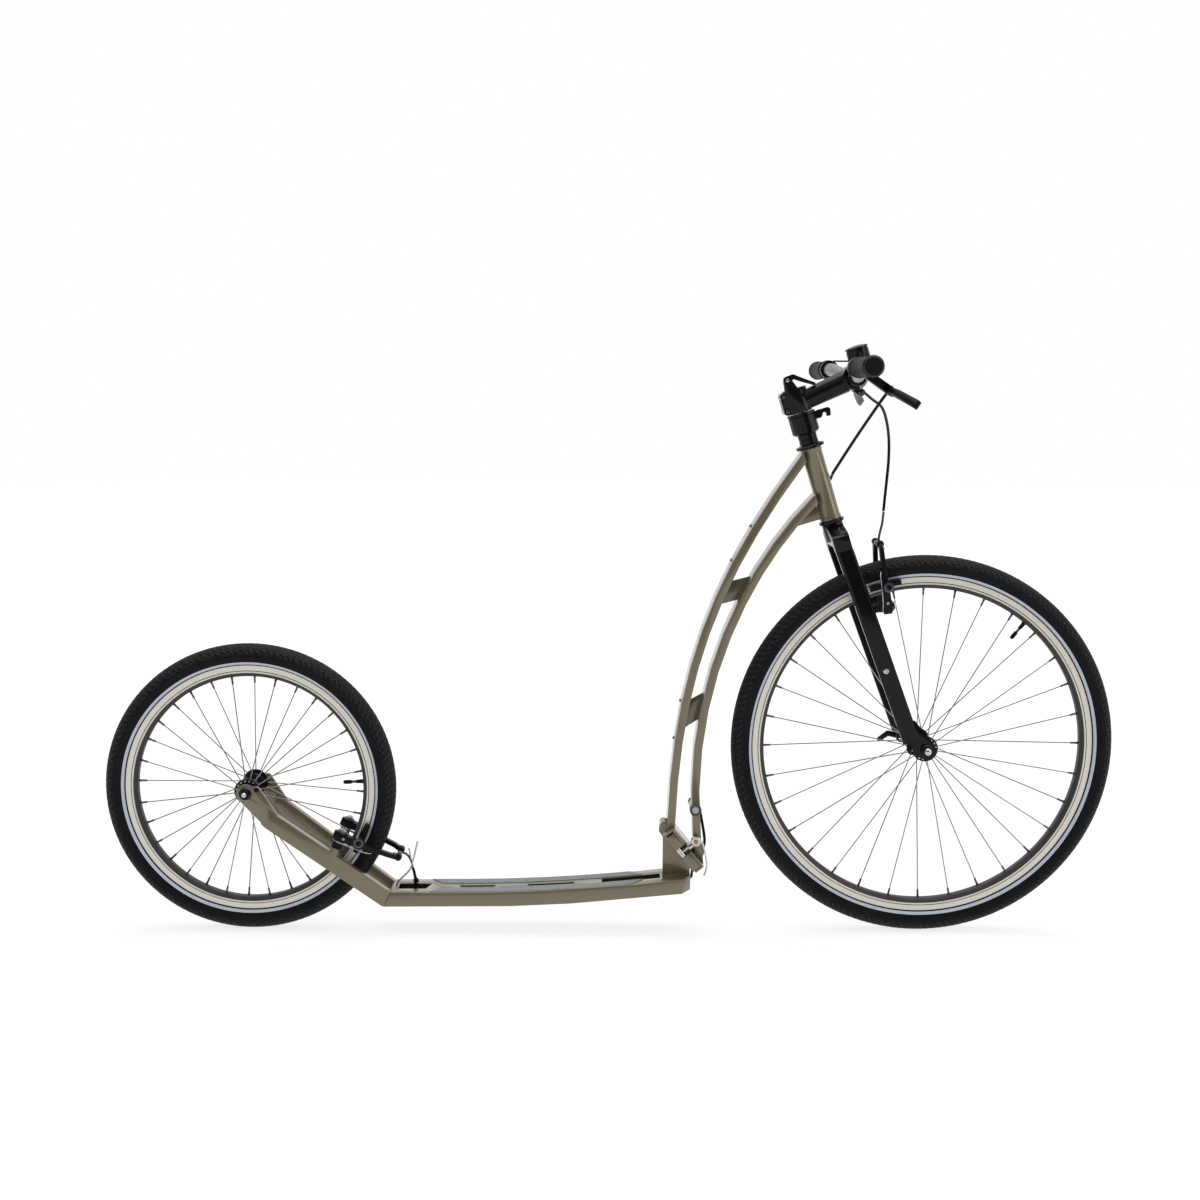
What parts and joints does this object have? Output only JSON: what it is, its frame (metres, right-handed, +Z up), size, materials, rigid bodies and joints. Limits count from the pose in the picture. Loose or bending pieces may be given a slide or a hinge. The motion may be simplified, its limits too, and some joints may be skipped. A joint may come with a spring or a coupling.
{
  "type": "kick bike",
  "caption": "Folding kick bike with spoked 26 and 20 inch class wheels, a low box-section deck, twin arched frame tubes and rim brakes.",
  "frame": {"origin": "on the ground midway along the bike's length, in its middle plane, with both tyres at Z = 0", "axes": "+X towards the front wheel, +Y to the rider's left, +Z up"},
  "size_m": [1.6942, 0.6, 0.9793],
  "materials": {
    "frame_paint": "satin taupe metallic",
    "black_gloss": "gloss",
    "black_matte": "matt",
    "tyre": "matt",
    "rim_metal": "machined",
    "steel": "polished",
    "bar_metal": "satin",
    "grip_rubber": "matt",
    "grip_tape": "grit"
  },
  "bodies": {
    "chassis": {"deck_beam": "frame_paint", "grip_band_left": "grip_tape", "grip_band_right": "grip_tape", "deck_hinge": "frame_paint", "fold_pin": "steel", "stay_left": "frame_paint", "stay_right": "frame_paint", "rear_axle": "steel", "rear_cable_at_brake": "black_matte"},
    "front_frame": {"head_tube": "frame_paint", "rear_arch": "frame_paint", "front_arch": "frame_paint", "upper_arch_gusset": "frame_paint", "lower_arch_gusset": "frame_paint", "head_gusset": "frame_paint", "hinge_channel": "frame_paint", "upper_headset_cup": "black_gloss", "lower_headset_cup": "black_gloss", "rear_cable_along_frame": "black_matte", "rear_cable_at_fold": "black_matte"},
    "fold_skewer": {"fold_skewer": "steel"},
    "fold_lever": {"fold_lever": "steel"},
    "steering": {"fork_crown": "black_gloss", "fork_leg_left": "black_gloss", "fork_leg_right": "black_gloss", "front_axle": "steel", "steerer_spacer": "black_gloss", "height_collar": "black_matte"},
    "height_hook": {"height_hook": "black_matte"},
    "axle_lever": {"axle_lever": "black_gloss"},
    "column": {"sliding_post": "steel", "stem": "black_gloss", "bar_clamp_cap": "bar_metal", "handlebar": "bar_metal", "grip_left": "grip_rubber", "grip_right": "grip_rubber", "brake_bracket_left": "black_matte", "brake_bracket_right": "black_matte", "bell": "black_gloss", "front_brake_cable": "black_matte", "rear_cable_from_lever": "black_matte"},
    "stem_lever": {"stem_lever": "black_gloss"},
    "brake_lever_left": {"brake_lever_left": "black_matte"},
    "brake_lever_right": {"brake_lever_right": "black_matte"},
    "bell_striker": {"bell_striker": "steel"},
    "front_wheel": {"front_tyre": "tyre", "front_rim": "rim_metal", "front_hub_and_spokes": "steel"},
    "rear_wheel": {"rear_tyre": "tyre", "rear_rim": "rim_metal", "rear_hub_and_spokes": "steel"},
    "front_brake_arm_left": {"front_brake_arm_left": "black_matte"},
    "front_brake_arm_right": {"front_brake_arm_right": "black_matte", "front_noodle": "steel"},
    "rear_brake_arm_left": {"rear_brake_arm_left": "black_matte", "rear_noodle": "steel"},
    "rear_brake_arm_right": {"rear_brake_arm_right": "black_matte"}
  },
  "joints": [
    {"name": "frame_fold", "type": "hinge", "parent": "chassis", "child": "front_frame", "pos_m": [0.09344, 0, 0.18307], "axis": [0, -1, 0], "range_deg": [0, 76]},
    {"name": "fold_skewer_swing", "type": "hinge", "parent": "chassis", "child": "fold_skewer", "pos_m": [0.12136, -0.0324, 0.14069], "axis": [0.6297, 0, -0.7768], "range_deg": [0, 152]},
    {"name": "fold_lever_open", "type": "hinge", "parent": "fold_skewer", "child": "fold_lever", "pos_m": [0.14652, -0.0324, 0.1611], "axis": [0, -1, 0], "range_deg": [0, 99]},
    {"name": "steering_turn", "type": "hinge", "parent": "front_frame", "child": "steering", "pos_m": [0.32954, 0, 0.81817], "axis": [-0.2944, 0, 0.9557], "range_deg": [-75, 75]},
    {"name": "column_height", "type": "slide", "parent": "steering", "child": "column", "axis": [-0.2944, 0, 0.9557], "range_m": [0, 0.08]},
    {"name": "stem_lever_turn", "type": "hinge", "parent": "column", "child": "stem_lever", "pos_m": [0.28736, -0.009, 0.92791], "axis": [0, -1, 0], "range_deg": [0, 120]},
    {"name": "height_hook_turn", "type": "hinge", "parent": "steering", "child": "height_hook", "pos_m": [0.34101, 0, 0.87402], "axis": [0, 1, 0], "range_deg": [0, 30]},
    {"name": "axle_lever_turn", "type": "hinge", "parent": "steering", "child": "axle_lever", "pos_m": [0.5261, 0.067, 0.321], "axis": [0, 0, -1], "range_deg": [0, 170]},
    {"name": "front_wheel_spin", "type": "hinge", "parent": "steering", "child": "front_wheel", "pos_m": [0.5261, 0, 0.321], "axis": [0, 1, 0], "continuous": true},
    {"name": "rear_wheel_spin", "type": "hinge", "parent": "chassis", "child": "rear_wheel", "pos_m": [-0.6026, 0, 0.2445], "axis": [0, 1, 0], "continuous": true},
    {"name": "brake_lever_left_pull", "type": "hinge", "parent": "column", "child": "brake_lever_left", "pos_m": [0.42854, 0.16, 0.91303], "axis": [0.5719, 0, 0.8204], "range_deg": [0, 28], "stiffness_Nm_per_rad": 0.8, "springref_deg": -8.59},
    {"name": "brake_lever_right_pull", "type": "hinge", "parent": "column", "child": "brake_lever_right", "pos_m": [0.42854, -0.16, 0.91303], "axis": [-0.5719, 0, -0.8204], "range_deg": [0, 28], "stiffness_Nm_per_rad": 0.8, "springref_deg": -8.59},
    {"name": "bell_striker_push", "type": "hinge", "parent": "column", "child": "bell_striker", "pos_m": [0.38625, -0.046, 0.96828], "axis": [0, 0, 1], "range_deg": [0, 25], "stiffness_Nm_per_rad": 0.05, "springref_deg": -11.46},
    {"name": "front_brake_arm_left_close", "type": "hinge", "parent": "steering", "child": "front_brake_arm_left", "pos_m": [0.4534, 0.042, 0.56058], "axis": [0.9936, 0, 0.1132], "range_deg": [0, 2.3]},
    {"name": "front_brake_arm_right_close", "type": "hinge", "parent": "steering", "child": "front_brake_arm_right", "pos_m": [0.4534, -0.042, 0.56058], "axis": [-0.9936, 0, -0.1132], "range_deg": [0, 2.3]},
    {"name": "rear_brake_arm_left_close", "type": "hinge", "parent": "chassis", "child": "rear_brake_arm_left", "pos_m": [-0.44781, 0.042, 0.16793], "axis": [-0.3987, 0, -0.9171], "range_deg": [0, 2.3]},
    {"name": "rear_brake_arm_right_close", "type": "hinge", "parent": "chassis", "child": "rear_brake_arm_right", "pos_m": [-0.44781, -0.042, 0.16793], "axis": [0.3987, 0, 0.9171], "range_deg": [0, 2.3]}
  ],
  "couplings": [
    {"joint": "fold_skewer_swing", "follows": "frame_fold", "ratio": 2},
    {"joint": "fold_lever_open", "follows": "frame_fold", "ratio": 1.25},
    {"joint": "front_brake_arm_left_close", "follows": "brake_lever_left_pull", "ratio": 0.08},
    {"joint": "front_brake_arm_right_close", "follows": "brake_lever_left_pull", "ratio": 0.08},
    {"joint": "rear_brake_arm_left_close", "follows": "brake_lever_right_pull", "ratio": 0.08},
    {"joint": "rear_brake_arm_right_close", "follows": "brake_lever_right_pull", "ratio": 0.08}
  ]
}
